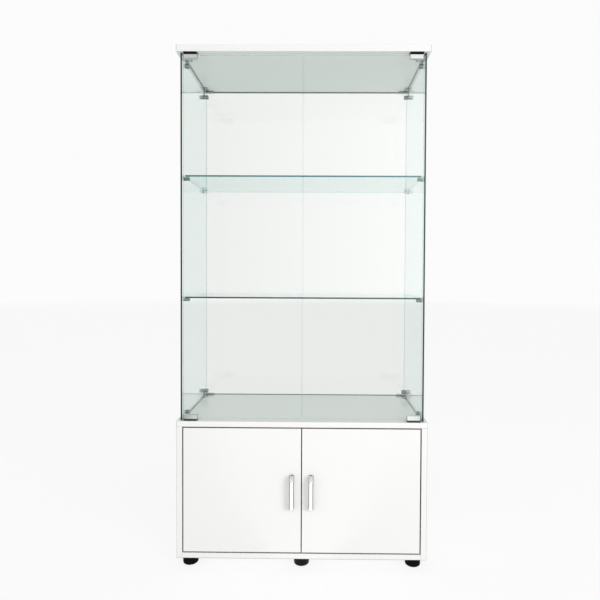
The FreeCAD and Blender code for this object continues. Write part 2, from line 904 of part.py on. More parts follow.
def hinge_cup(z):
    centre = cup_centre(z)
    outer = cup_radius - cup_clearance
    shell = rod(outer, centre - back * cup_depth, back, cup_depth)
    rim = rod(cup_radius + cup_flange_margin, centre, back, cup_flange)
    half_x, half_z = cup_ear_width / 2, cup_ear_height / 2
    x0, x1 = centre.x - half_x, centre.x + half_x
    ears = box(x0, x1, centre.y, centre.y + cup_flange, z - half_z, z + half_z)
    ears = ears.makeFillet(half_x - bore_clearance, edges_where(ears, lambda e: is_along(e, back)))
    solid = shell.fuse([rim, ears]).removeSplitter()
    hollow = rod(outer - cup_wall, centre - back * (cup_depth - cup_wall), back, cup_depth + cup_flange)
    pin_hole = rod(hinge_pin_radius + bore_clearance, hinge_axis(z) - up * cup_radius, up, 2 * cup_radius)
    sinks = [screw_hole(place, -back, cup_screw_length()) for place in cup_screw_places(z)]
    return drill(solid, [hollow, pin_hole] + sinks)


def cup_pin(z):
    # Its ends sit in the wall of the cup and don't pass through it
    outermost = cup_from_edge - hinge_pin_from_edge + hinge_pin_radius
    half = math.sqrt((cup_radius - cup_clearance) ** 2 - outermost ** 2)
    return rod(hinge_pin_radius, hinge_axis(z) - up * half, up, 2 * half)


def hinge_arm(z):
    # Barrel, bar, quarter hook round the door's edge and leg along the side board
    axis = hinge_axis(z)
    low = z - arm_width / 2
    inner, outer = arm_inner_radius, arm_inner_radius + arm_thickness
    half = arm_thickness / 2
    leg_x = -side_inner + arm_plate_thickness
    base = Vector(axis.x, axis.y, low)
    barrel = rod(hinge_barrel_radius, base, up, arm_width)
    bar = box(axis.x, axis.x + inner + half, axis.y - half, axis.y + half, low, low + arm_width)
    ring = Part.makeCylinder(outer, arm_width, base, up, 90)
    ring = ring.cut(rod(inner, base, up, arm_width))
    tip = rod(half, Vector(axis.x + inner + half, axis.y, low), up, arm_width)
    cross = box(leg_x, axis.x, axis.y + inner, axis.y + outer, low, low + arm_width)
    leg_end = axis.y + inner + arm_length
    leg = box(leg_x, leg_x + arm_thickness, axis.y + inner, leg_end, low, low + arm_width)
    solid = barrel.fuse([bar, ring, tip, cross, leg]).removeSplitter()
    eye = rod(hinge_pin_radius + hinge_pin_clearance, base, up, arm_width)
    return drill(solid, [eye, arm_screw_bore(z)])


def arm_screw_place(z):
    y = hinge_axis(z).y + arm_inner_radius + arm_length - arm_screw_from_end
    return Vector(-side_inner + arm_plate_thickness + arm_thickness, y, z)


def arm_screw_depth():
    return arm_thickness + arm_plate_thickness


def arm_screw_bore(z):
    depth = arm_screw_depth() + bore_clearance
    return rod(arm_screw_radius + bore_clearance, arm_screw_place(z), -right, depth)


def arm_screw(z):
    # Pan head that clamps the arm to its plate
    head_radius, head = arm_screw_head_radius, arm_screw_head
    length = arm_screw_depth()
    points = [(0, length), (arm_screw_radius, length), (arm_screw_radius, 0), (head_radius, 0),
              (head_radius - head / 2, -head), (0, -head)]
    return spin(points, arm_screw_place(z), -right)


def arm_plate_start(z):
    return hinge_axis(z).y + arm_inner_radius + 2 * arm_thickness


def arm_plate_end(z):
    return hinge_axis(z).y + arm_inner_radius + arm_length


def arm_plate_screw_places():
    places = []
    for z in hinge_levels():
        y = arm_plate_start(z) + arm_plate_wing_width
        for side in (-1, 1):
            places.append(Vector(-side_inner + arm_plate_wing, y, z + side * arm_screw_spacing / 2))
    return places


def arm_plate(z):
    # Cross-shaped plate on the side board
    x0 = -side_inner
    half = arm_plate_width / 2
    spine = box(x0, x0 + arm_plate_thickness, arm_plate_start(z), arm_plate_end(z), z - half, z + half)
    middle = arm_plate_start(z) + arm_plate_wing_width
    wing_half = arm_plate_wing_height / 2
    y0, y1 = middle - arm_plate_wing_width / 2, middle + arm_plate_wing_width / 2
    wings = box(x0, x0 + arm_plate_wing, y0, y1, z - wing_half, z + wing_half)
    wings = wings.makeFillet(arm_plate_wing_width / 3, edges_where(wings, lambda e: is_along(e, right)))
    solid = spine.fuse(wings).removeSplitter()
    sinks = [screw_hole(place, -right) for place in arm_plate_screw_places()]
    return drill(solid, sinks + [arm_screw_bore(z)])


def cup_hinges():
    levels = hinge_levels()
    moving = {"hinge_cups": [hinge_cup(z) for z in levels], "hinge_cup_pins": [cup_pin(z) for z in levels]}
    moving["hinge_cup_screws"] = [screw(place, -back, cup_screw_length())
                                  for z in levels for place in cup_screw_places(z)]
    for name, solids in moving.items():
        save(name + "_left", solids)
        save(name + "_right", [other_side(solid) for solid in solids])
    save("hinge_arms", both_sides([hinge_arm(z) for z in levels]))
    save("hinge_plates", both_sides([arm_plate(z) for z in levels]))
    screws = [screw(place, -right) for place in arm_plate_screw_places()]
    screws += [arm_screw(z) for z in levels]
    save("hinge_plate_screws", both_sides(screws))


def main():
    os.makedirs("parts", exist_ok=True)
    top_board()
    base_boards()
    fittings()
    feet()
    panes()
    pane_fixings()
    glass_doors()
    board_screws()
    board_doors()
    cup_hinges()
    print("nodes written:", node_count)


main()
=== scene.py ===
import json
import math

import bmesh
import bpy
from mathutils import Matrix, Vector

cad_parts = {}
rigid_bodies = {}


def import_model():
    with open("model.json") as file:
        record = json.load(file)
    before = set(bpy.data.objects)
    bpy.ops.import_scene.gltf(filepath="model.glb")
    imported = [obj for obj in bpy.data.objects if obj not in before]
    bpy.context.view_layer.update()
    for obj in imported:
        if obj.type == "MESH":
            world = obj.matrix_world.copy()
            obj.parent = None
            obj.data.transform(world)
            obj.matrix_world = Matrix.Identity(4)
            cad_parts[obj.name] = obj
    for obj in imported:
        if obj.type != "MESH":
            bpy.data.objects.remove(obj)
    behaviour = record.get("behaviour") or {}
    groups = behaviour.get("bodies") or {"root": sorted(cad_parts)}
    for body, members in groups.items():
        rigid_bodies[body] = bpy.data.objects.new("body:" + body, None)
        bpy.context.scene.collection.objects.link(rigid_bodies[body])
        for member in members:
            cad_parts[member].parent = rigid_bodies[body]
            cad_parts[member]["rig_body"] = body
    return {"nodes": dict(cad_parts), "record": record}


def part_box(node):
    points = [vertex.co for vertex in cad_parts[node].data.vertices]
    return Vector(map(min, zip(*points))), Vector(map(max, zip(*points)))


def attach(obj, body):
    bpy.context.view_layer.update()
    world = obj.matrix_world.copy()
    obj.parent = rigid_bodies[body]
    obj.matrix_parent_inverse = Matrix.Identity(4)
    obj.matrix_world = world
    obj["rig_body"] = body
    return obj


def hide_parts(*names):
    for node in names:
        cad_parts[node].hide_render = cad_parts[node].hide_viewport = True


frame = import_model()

scene = bpy.context.scene
scene.view_settings.view_transform = "Standard"
nodes = frame["nodes"]
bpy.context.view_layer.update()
print("frame loaded,", len(nodes), "nodes")

colourA, colourB, colourOut = 6, 7, 2        # where a Mix node keeps its colour sockets


def hexToLinear(code):
    channels = [int(code[i:i + 2], 16) / 255 for i in (1, 3, 5)]
    linear = [c / 12.92 if c <= 0.04045 else ((c + 0.055) / 1.055) ** 2.4 for c in channels]
    return (*linear, 1.0)


def metres(millimetres):
    return millimetres / 1000


def perMetre(millimetres):
    return 1000 / millimetres        # a pattern's scale, for features of that size


def addNode(tree, kind, settings=None, links=None):
    node = tree.nodes.new(kind)
    for name, value in (settings or {}).items():
        if isinstance(name, int) or name in node.inputs:
            node.inputs[name].default_value = value
        else:
            setattr(node, name, value)
    for name, source in (links or {}).items():
        tree.links.new(source, node.inputs[name])
    return node


def startMaterial(name):
    material = bpy.data.materials.new(name)
    material.use_nodes = True
    material.node_tree.nodes.clear()
    return material, material.node_tree


def endMaterial(tree, shader):
    addNode(tree, "ShaderNodeOutputMaterial", links={"Surface": shader.outputs[0]})


# Most surfaces start from two tones that run into each other in spots of a real size.
def mixTones(tree, place, look, spotMm, detail):
    spots = addNode(tree, "ShaderNodeTexNoise", {"Scale": perMetre(spotMm), "Detail": detail},
                    {"Vector": place}).outputs["Fac"]
    tone = addNode(tree, "ShaderNodeMix",
                   {"data_type": "RGBA", colourA: hexToLinear(look["deep"]),
                    colourB: hexToLinear(look["pale"])}, {"Factor": spots})
    return {"spots": spots, "tone": tone.outputs[colourOut]}


# Melamine: printed paper pressed hard onto chipboard. The eye gets an even cool white
# with a soft sheen, a faint pebble from the press plate where light skims over it, and
# grey painted shade in the gaps where the edges of boards and doors stand close together.
# The edge bands are trimmed round, so that every arris draws a fine line.
melamine = {
    "pale": "#f5f5f3",
    "deep": "#f1f1ef",
    "cloudMm": 240,
    "cloudDetail": 2.0,
    "pebbleMm": 5,         # really about 1 mm, drawn coarser so that it shows
    "pebbleDetail": 3.0,
    "pebbleDepthMm": 0.4,
    "pebbleStrength": 0.25,
    "sheen": (0.20, 0.30),
    "ior": 1.5,
    "arrisMm": 2,
    "arrisSamples": 4,
    # painted shade in close gaps: its reach, samples and grey
    "gapShadeMm": 7,
    "gapShadeSamples": 8,
    "gapShade": "#808280",
}


def makeMelamine(look):
    material, tree = startMaterial("white_melamine")
    coordinates = addNode(tree, "ShaderNodeTexCoord")
    place = coordinates.outputs["Object"]
    board = mixTones(tree, place, look, look["cloudMm"], look["cloudDetail"])["tone"]
    near = addNode(tree, "ShaderNodeAmbientOcclusion",
                   {"samples": look["gapShadeSamples"], "Distance": metres(look["gapShadeMm"])})
    # Close gaps darken towards the grey of the painted shade; faces that look straight ahead stay
    # clear of it.
    way = addNode(tree, "ShaderNodeSeparateXYZ", links={"Vector": coordinates.outputs["Normal"]})
    flatFront = addNode(tree, "ShaderNodeMath", {"operation": "ABSOLUTE"}, {0: way.outputs["Y"]})
    clear = addNode(tree, "ShaderNodeMath", {"operation": "MAXIMUM"},
                    {0: near.outputs["AO"], 1: flatFront.outputs[0]})
    colour = addNode(tree, "ShaderNodeMix",
                     {"data_type": "RGBA", colourA: hexToLinear(look["gapShade"])},
                     {"Factor": clear.outputs[0], colourB: board})
    pebble = addNode(tree, "ShaderNodeTexNoise",
                     {"Scale": perMetre(look["pebbleMm"]), "Detail": look["pebbleDetail"]},
                     {"Vector": place}).outputs["Fac"]
    low, high = look["sheen"]
    sheen = addNode(tree, "ShaderNodeMapRange", {"To Min": low, "To Max": high},
                    {"Value": pebble})
    arris = addNode(tree, "ShaderNodeBevel",
                    {"samples": look["arrisSamples"], "Radius": metres(look["arrisMm"])})
    bump = addNode(tree, "ShaderNodeBump",
                   {"Strength": look["pebbleStrength"], "Distance": metres(look["pebbleDepthMm"])},
                   {"Height": pebble, "Normal": arris.outputs[0]})
    shader = addNode(tree, "ShaderNodeBsdfPrincipled", {"IOR": look["ior"]},
                     {"Base Color": colour.outputs[colourOut], "Roughness": sheen.outputs[0],
                      "Normal": bump.outputs[0]})
    endMaterial(tree, shader)
    return material


# Hardboard: pressed wood fibre under one coat of white paint, which the eye finds flatter
# and rougher than the boards.
hardboard = {
    "pale": "#ecece8",
    "deep": "#e2e2dd",
    "fibreMm": 9,
    "fibreDetail": 5.0,
    "fibreDepthMm": 0.6,
    "fibreStrength": 0.3,
    "roughness": 0.55,
}


def makeHardboard(look):
    material, tree = startMaterial("painted_hardboard")
    place = addNode(tree, "ShaderNodeTexCoord").outputs["Object"]
    fibre = mixTones(tree, place, look, look["fibreMm"], look["fibreDetail"])
    bump = addNode(tree, "ShaderNodeBump",
                   {"Strength": look["fibreStrength"], "Distance": metres(look["fibreDepthMm"])},
                   {"Height": fibre["spots"]})
    shader = addNode(tree, "ShaderNodeBsdfPrincipled", {"Roughness": look["roughness"]},
                     {"Base Color": fibre["tone"], "Normal": bump.outputs[0]})
    endMaterial(tree, shader)
    return material


# Float glass: flat and clear, it shows the eye little but its mirror gloss and a breath of
# green. Lamp light and light scattered by the boards pass it as through a thin pane.
floatGlass = {"ior": 1.52, "passed": "#f5faf8"}


def makeGlass(name, tint, roughness):
    material, tree = startMaterial(name)
    pane = addNode(tree, "ShaderNodeBsdfPrincipled",
                   {"Base Color": hexToLinear(tint), "IOR": floatGlass["ior"],
                    "Roughness": roughness, "Transmission Weight": 1.0})
    path = addNode(tree, "ShaderNodeLightPath")
    passing = addNode(tree, "ShaderNodeMath", {"operation": "MAXIMUM"},
                      {0: path.outputs["Is Shadow Ray"], 1: path.outputs["Is Diffuse Ray"]})
    through = addNode(tree, "ShaderNodeBsdfTransparent",
                      {"Color": hexToLinear(floatGlass["passed"])})
    shader = addNode(tree, "ShaderNodeMixShader",
                     links={0: passing.outputs[0], 1: pane.outputs[0], 2: through.outputs[0]})
    endMaterial(tree, shader)
    return material


# Cut glass edge: light that runs along inside the pane comes out here, so that the eye
# sees a dark bottle green under a polished skin.
cutEdge = {"pale": "#1a453f", "deep": "#0e2c28", "polish": 0.12, "gloss": 0.3}

# Shelf edges: the same edge over a longer run of glass, which makes them greener. The lower
# shelf lies at eye height, where the eye looks far into the pane and finds it darker.
shelfEdges = {
    "glass_shelf_lower": {"pale": "#00504b", "deep": "#003631", "polish": 0.12, "gloss": 0.1},
    "glass_shelf_upper": {"pale": "#388486", "deep": "#266466", "polish": 0.12, "gloss": 0.2},
}

# Ground shelf ends: frosted, and pale with the light that the shelf gathers.
shelfEnd = {"pale": "#b9e4e6", "deep": "#a3d8dc", "polish": 0.35, "gloss": 0.3}

edgeStreaks = {"sizeMm": 90, "detail": 4.0}        # slow changes along every glass edge


def makeCutEdge(name, look):
    material, tree = startMaterial(name)
    place = addNode(tree, "ShaderNodeTexCoord").outputs["Object"]
    streak = mixTones(tree, place, look, edgeStreaks["sizeMm"], edgeStreaks["detail"])
    shader = addNode(tree, "ShaderNodeBsdfPrincipled",
                     {"IOR": floatGlass["ior"], "Roughness": look["polish"],
                      "Specular IOR Level": look["gloss"]},
                     {"Base Color": streak["tone"]})
    endMaterial(tree, shader)
    return material


# Chrome plate: polished copper and nickel under chromium, a cool mirror with hardly any haze.
chrome = {"pale": "#d8dbdc", "deep": "#cbcecf", "hazeMm": 12, "polish": (0.05, 0.11)}

# Darkened chrome on the small clips and pegs inside: the same mirror with a greyer green cast,
# which is painted shade and a painted reflection of the green glass round them.
shadedChrome = {"pale": "#8d9a99", "deep": "#74817f", "hazeMm": 8, "polish": (0.08, 0.16)}

# Matt chrome on the rear pegs: plate over a blasted casting, so pale that the pegs sink into
# the backdrop.
mattChrome = {"pale": "#f2f4f4", "deep": "#e6e9e9", "hazeMm": 8, "polish": (0.35, 0.45)}

# Satin nickel: finely brushed casting under nickel plate, a soft warm grey.
satinNickel = {"pale": "#ececea", "deep": "#e2e2df", "hazeMm": 3, "polish": (0.08, 0.14)}

# Pale nickel in the bends of the handles, a painted highlight: near white and so matt that it
# takes in light from all round.
bendHighlightNickel = {"pale": "#fcfcfa", "deep": "#f4f4f2", "hazeMm": 3, "polish": (0.7, 0.8)}

# Darker nickel on top of a handle and on its shoulders: the same plate with painted shade.
bendShadeNickel = {"pale": "#a0a09e", "deep": "#949492", "hazeMm": 3, "polish": (0.2, 0.3)}

# Zinc plate: bright pressed steel with a slightly cloudy bluish shine.
zincPlate = {"pale": "#cfd3d6", "deep": "#b4b9bd", "hazeMm": 6, "polish": (0.2, 0.34)}

# Bare zinc casting: dull grey with the skin of the mould.
zincCasting = {"pale": "#b3b4b5", "deep": "#9a9c9e", "hazeMm": 2, "polish": (0.38, 0.5)}

hazeDetail = 3.0        # of the haze on every metal


def makeMetal(name, look):
    material, tree = startMaterial(name)
    place = addNode(tree, "ShaderNodeTexCoord").outputs["Object"]
    haze = mixTones(tree, place, look, look["hazeMm"], hazeDetail)
    low, high = look["polish"]
    polish = addNode(tree, "ShaderNodeMapRange", {"To Min": low, "To Max": high},
                     {"Value": haze["spots"]})
    shader = addNode(tree, "ShaderNodeBsdfPrincipled", {"Metallic": 1.0},
                     {"Base Color": haze["tone"], "Roughness": polish.outputs[0]})
    endMaterial(tree, shader)
    return material


# Moulded polypropylene and nylon: waxy black with a fine spark-eroded grain and a broad
# dull shine.
blackPlastic = {"pale": "#101012", "deep": "#050506", "sheen": (0.42, 0.6), "gloss": 0.12}

# Grey on the lower pivot plates: the same black nylon as the plates above, painted paler with
# light.
litNylon = {"pale": "#585b5e", "deep": "#4c4f52", "sheen": (0.42, 0.6), "gloss": 0.2}

# Moulded white plastic: plain and slightly warm, with the same fine grain.
whitePlastic = {"pale": "#f0f0ec", "deep": "#e8e8e4", "sheen": (0.35, 0.5), "gloss": 0.5}

# Painted edge shade: a dull grey line of painted shade where a front edge turns away from the
# light.
paintedEdgeShade = {"pale": "#aeb0ac", "deep": "#9fa19d", "sheen": (0.5, 0.6), "gloss": 0.3}

plasticGrain = {"sizeMm": 1.6, "detail": 2.0, "depthMm": 0.2, "strength": 0.2, "ior": 1.49}


def makePlastic(name, look):
    material, tree = startMaterial(name)
    place = addNode(tree, "ShaderNodeTexCoord").outputs["Object"]
    grain = mixTones(tree, place, look, plasticGrain["sizeMm"], plasticGrain["detail"])
    low, high = look["sheen"]
    sheen = addNode(tree, "ShaderNodeMapRange", {"To Min": low, "To Max": high},
                    {"Value": grain["spots"]})
    bump = addNode(tree, "ShaderNodeBump",
                   {"Strength": plasticGrain["strength"],
                    "Distance": metres(plasticGrain["depthMm"])},
                   {"Height": grain["spots"]})
    shader = addNode(tree, "ShaderNodeBsdfPrincipled",
                     {"IOR": plasticGrain["ior"], "Specular IOR Level": look["gloss"]},
                     {"Base Color": grain["tone"], "Roughness": sheen.outputs[0],
                      "Normal": bump.outputs[0]})
    endMaterial(tree, shader)
    return material


# Clear vinyl: soft pads that look milky where they are not squeezed against the glass.
vinyl = {
    "tint": "#e4e9e7",
    "milkMm": 4,
    "milkDetail": 2.0,
    "sheen": (0.25, 0.4),
    "ior": 1.53,
    "clearness": 0.6,
}


def makeVinyl(look):
    material, tree = startMaterial("clear_vinyl")
    place = addNode(tree, "ShaderNodeTexCoord").outputs["Object"]
    milk = addNode(tree, "ShaderNodeTexNoise",
                   {"Scale": perMetre(look["milkMm"]), "Detail": look["milkDetail"]},
                   {"Vector": place})
    low, high = look["sheen"]
    soft = addNode(tree, "ShaderNodeMapRange", {"To Min": low, "To Max": high},
                   {"Value": milk.outputs["Fac"]})
    shader = addNode(tree, "ShaderNodeBsdfPrincipled",
                     {"Base Color": hexToLinear(look["tint"]), "IOR": look["ior"],
                      "Transmission Weight": look["clearness"]},
                     {"Roughness": soft.outputs[0]})
    endMaterial(tree, shader)
    return material


# Beech: pale pinkish wood with short dark flecks along the grain.
beech = {
    "pale": "#dcb88a",
    "deep": "#c79c6b",
    "fleckMm": 1.2,
    "fleckDetail": 3.0,
    "grain": (0.15, 1.0, 1.0),        # flecks are drawn out along X, as the lower dowels lie
    "roughness": 0.6,
}


def makeBeech(look):
    material, tree = startMaterial("turned_beech")
    place = addNode(tree, "ShaderNodeTexCoord").outputs["Object"]
    along = addNode(tree, "ShaderNodeMapping", {"Scale": look["grain"]}, {"Vector": place})
    fleck = mixTones(tree, along.outputs[0], look, look["fleckMm"], look["fleckDetail"])
    shader = addNode(tree, "ShaderNodeBsdfPrincipled", {"Roughness": look["roughness"]},
                     {"Base Color": fleck["tone"]})
    endMaterial(tree, shader)
    return material


finishes = {
    "white_melamine_board": makeMelamine(melamine),
    "white_hardboard": makeHardboard(hardboard),
    "black_polypropylene": makePlastic("moulded_polypropylene", blackPlastic),
    "black_nylon": makePlastic("moulded_nylon", blackPlastic),
    "satin_nickel": makeMetal("satin_nickel_plate", satinNickel),
    "bright_chrome": makeMetal("chrome_plate", chrome),
    "clear_vinyl": makeVinyl(vinyl),
    "beech_dowel": makeBeech(beech),
    "zinc_casting": makeMetal("die_cast_zinc", zincCasting),
    "white_abs": makePlastic("moulded_abs", whitePlastic),
    "zinc_plated_steel": makeMetal("zinc_plated_steel", zincPlate),
}
shadedChromeFinish = makeMetal("chrome_plate_painted_shade", shadedChrome)
# these small fittings take the chrome with painted shade
shadedFittings = ("front_clips", "rear_brackets", "pane_bolts",
                  "shelf_pegs_lower", "shelf_pegs_upper")
slotOf = {piece["node"]: piece["material_slot"] for piece in frame["record"]["subparts"]}
for name, node in nodes.items():
    if slotOf[name] in finishes:
        finish = shadedChromeFinish if name in shadedFittings else finishes[slotOf[name]]
        node.data.materials.clear()
        node.data.materials.append(finish)


# Some pieces get more finishes behind their first, and slotFor says which a face takes.
def dressFaces(name, extras, slotFor):
    mesh = nodes[name].data
    for finish in extras:
        mesh.materials.append(finish)
    for polygon in mesh.polygons:
        polygon.material_index = slotFor(polygon)


# The front edges of the boards were trimmed to turn under and round at the outer corners, where
# a dull grey line of painted shade lies. Each number is how far a face has to turn to take it.
edgeShadeTurns = {
    "frontTurn": 0.02,
    "ways": {"low": (0.0, 0.0, -1.0), "left": (-1.0, 0.0, 0.0), "right": (1.0, 0.0, 0.0)},
    "boards": {
        "base_bottom_board": {"low": 0.02},
        "base_side_left": {"low": 0.02, "left": 0.02},
        "base_side_right": {"low": 0.02, "right": 0.02},
        "base_top_board": {"left": 0.7, "right": 0.7},
        "top_board": {"left": 0.7, "right": 0.7},
    },
}


def edgeShadeSlot(normal, turns):
    isFront = normal.y < -edgeShadeTurns["frontTurn"]
    isTurnedAway = any(normal.dot(edgeShadeTurns["ways"][way]) > turn for way, turn in turns.items())
    return 1 if isFront and isTurnedAway else 0


paintedEdgeFinish = makePlastic("painted_edge_shade", paintedEdgeShade)
for name, turns in edgeShadeTurns["boards"].items():
    dressFaces(name, [paintedEdgeFinish], lambda polygon: edgeShadeSlot(polygon.normal, turns))


# Of some fittings, the half towards the rear or the floor has a finish of its own; on the pivot
# plates it is painted light.
rearFinish = makeMetal("matt_chrome_plate", mattChrome)
litPlateFinish = makePlastic("nylon_painted_light", litNylon)
halves = {
    "shelf_pegs_lower": {"axis": "y", "isFar": True, "finish": rearFinish},
    "shelf_pegs_upper": {"axis": "y", "isFar": True, "finish": rearFinish},
    "pivot_plates": {"axis": "z", "isFar": False, "finish": litPlateFinish},
}


def halfSlot(centre, middle, look):
    isBeyond = getattr(centre, look["axis"]) > getattr(middle, look["axis"])
    return 1 if isBeyond == look["isFar"] else 0


for name, look in halves.items():
    low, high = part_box(name)
    middle = (low + high) / 2
    dressFaces(name, [look["finish"]], lambda polygon: halfSlot(polygon.center, middle, look))


# Where a handle's upper end turns back to the door, its plate gets a painted highlight in front
# and painted shade on top and on the shoulders. Each number is how far a face has to look up or
# aside.
handleBend = {
    "handles": ("bow_handle_left", "bow_handle_right"),
    "highlightRise": 0.4,
    "topRise": 0.97,
    "shoulderTurn": 0.5,
}


def bendSlot(polygon, middle):
    rise = polygon.normal.z
    if polygon.center.z <= middle.z or rise <= handleBend["highlightRise"]:
        return 0
    isShoulder = abs(polygon.normal.x) > handleBend["shoulderTurn"]
    return 2 if isShoulder or rise > handleBend["topRise"] else 1


bendFinishes = [makeMetal("nickel_painted_highlight", bendHighlightNickel),
                makeMetal("nickel_painted_shade", bendShadeNickel)]
for name in handleBend["handles"]:
    low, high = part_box(name)
    middle = (low + high) / 2
    dressFaces(name, bendFinishes, lambda polygon: bendSlot(polygon, middle))
print("finishes on the boards, plates and fittings")


# The panes are copies of the drilled sheets, so that faces and edges get their own finish:
# polished edges that look out to the front or against a board are dark, the rest are ground.
glass = {
    "slot": "clear_float_glass",
    "faceTint": {"door": "#fbfcfb", "back": "#fbfcfb", "side": "#edf6f3", "shelf": "#e8f9f5"},
    "faceRoughness": 0.0,
    "groundTint": "#b4ddd7",
    "groundRoughness": 0.25,
    "weldMm": 0.001,
    "faceSlope": 0.99,
    "edgeSlope": 0.5,
    "darkWays": {"door": (), "back": ("up",), "side": ("front", "up"), "shelf": ("front",)},
    "shadowLined": ("back", "side"),        # a standing pane gets a painted shadow line where it meets a board
    "shadowLineHighMm": 2.2,
    "shadowLineLowMm": 1.5,
}
sheetSlots = {"face": 0, "ground": 1, "dark": 2}


def sheetKind(name):
    return next(kind for kind in glass["faceTint"] if kind in name)


faceFinish = {kind: makeGlass("float_glass_" + kind, tint, glass["faceRoughness"])
              for kind, tint in glass["faceTint"].items()}
groundFinish = makeGlass("ground_glass_edge", glass["groundTint"], glass["groundRoughness"])
cutFinish = makeCutEdge("cut_glass_edge", cutEdge)
endFinish = makeCutEdge("ground_shelf_edge", shelfEnd)
shelfFinish = {name: makeCutEdge("cut_edge_" + name, look) for name, look in shelfEdges.items()}


def edgeSlot(normal, kind):
    isFront = normal.y < -glass["edgeSlope"]
    isUp = abs(normal.z) > glass["edgeSlope"]
    dark = glass["darkWays"][kind]
    isDark = (isFront and "front" in dark) or (isUp and "up" in dark)
    return sheetSlots["dark" if isDark else "ground"]


def dressSheet(name):
    node = nodes[name]
    kind = sheetKind(name)
    low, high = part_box(name)
    size = high - low
    thin = min(range(3), key=lambda axis: size[axis])
    sheet = bmesh.new()
    sheet.from_mesh(node.data)
    bmesh.ops.remove_doubles(sheet, verts=sheet.verts, dist=metres(glass["weldMm"]))
    hasShadowLines = kind in glass["shadowLined"]
    shadowLineHigh = high.z - metres(glass["shadowLineHighMm"])
    shadowLineLow = low.z + metres(glass["shadowLineLowMm"])
    # Standing panes get bands of painted shadow at top and bottom, in the dark edge finish.
    for level in (shadowLineHigh, shadowLineLow) if hasShadowLines else ():
        bmesh.ops.bisect_plane(sheet, geom=sheet.verts[:] + sheet.edges[:] + sheet.faces[:],
                               plane_co=(0.0, 0.0, level), plane_no=(0.0, 0.0, 1.0))
    for face in sheet.faces:
        face.smooth = False
        if hasShadowLines and not shadowLineLow < face.calc_center_median().z < shadowLineHigh:
            face.material_index = sheetSlots["dark"]
        elif abs(face.normal[thin]) > glass["faceSlope"]:
            face.material_index = sheetSlots["face"]
        else:
            face.material_index = edgeSlot(face.normal, kind)
    mesh = bpy.data.meshes.new(name + "_sheet")
    sheet.to_mesh(mesh)
    sheet.free()
    mesh.materials.append(faceFinish[kind])
    mesh.materials.append(endFinish if kind == "shelf" else groundFinish)
    mesh.materials.append(shelfFinish.get(name, cutFinish))
    piece = bpy.data.objects.new(name + "_sheet", mesh)
    scene.collection.objects.link(piece)
    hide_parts(name)
    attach(piece, node["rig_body"])


for name in sorted(nodes):
    if slotOf[name] == glass["slot"]:
        dressSheet(name)
print("glass cut and ground")


# The camera stands where the photograph's perspective puts it. Angles are in radians.
view = {
    "place": (0.055, -1.706, 0.942),
    "yaw": 0.0090,
    "pitch": 0.0204,
    "roll": 0.0049,
    "lens": 29.26,
    "sensor": 36,
    "shift": (-0.0256, -0.0282),
}


def setCamera(look):
    camera = bpy.data.cameras.new("camera")
    camera.lens = look["lens"]
    camera.sensor_width = look["sensor"]
    camera.shift_x, camera.shift_y = look["shift"]
    eye = bpy.data.objects.new("camera", camera)
    turn = Matrix.Rotation(look["yaw"], 4, "Z")
    tilt = Matrix.Rotation(math.pi / 2 - look["pitch"], 4, "X")
    lean = Matrix.Rotation(look["roll"], 4, "Z")
    eye.matrix_world = Matrix.Translation(look["place"]) @ turn @ tilt @ lean
    scene.collection.objects.link(eye)
    scene.camera = eye


setCamera(view)
print("camera set")


# Soft daylight: most light comes from the front, the backdrop reads as white paper,
# and mirrors see a window front right and dim sides so that metal keeps its shape.
# Each ramp says along which axis of a direction it runs, between which two values, what it
# gives at them, and on which curve.
daylight = {
    "colour": "#ffffff",
    "paper": 0.97,
    "paperThrough": 0.965,
    "windowFar": 0.9,
    "ramps": {
        "ahead": ("Y", (0.0, -1.0), (0.42, 1.27), "LINEAR"),        # light on the boards
        "behind": ("Y", (0.2, 0.9), (0.0, 0.8), "LINEAR"),
        "low": ("Z", (0.7, 0.1), (0.0, 1.0), "LINEAR"),
        "window": ("X", (-0.2, 0.2), (0.0, 2.7), "LINEAR"),         # what mirrors see ahead
        "top": ("X", (-0.2, 0.2), (0.85, 1.3), "LINEAR"),
        "high": ("Z", (0.30, 0.38), (0.0, 1.0), "SMOOTHSTEP"),
        "far": ("aside", (0.3, 0.45), (0.0, 1.0), "LINEAR"),
        "facing": ("Y", (-0.1, -0.6), (0.0, 1.0), "SMOOTHSTEP"),
        "above": ("Z", (0.6, 0.9), (0.30, 0.37), "LINEAR"),         # what they see elsewhere
        "backdrop": ("Y", (0.1, 0.6), (0.0, 1.0), "LINEAR"),
    },
}


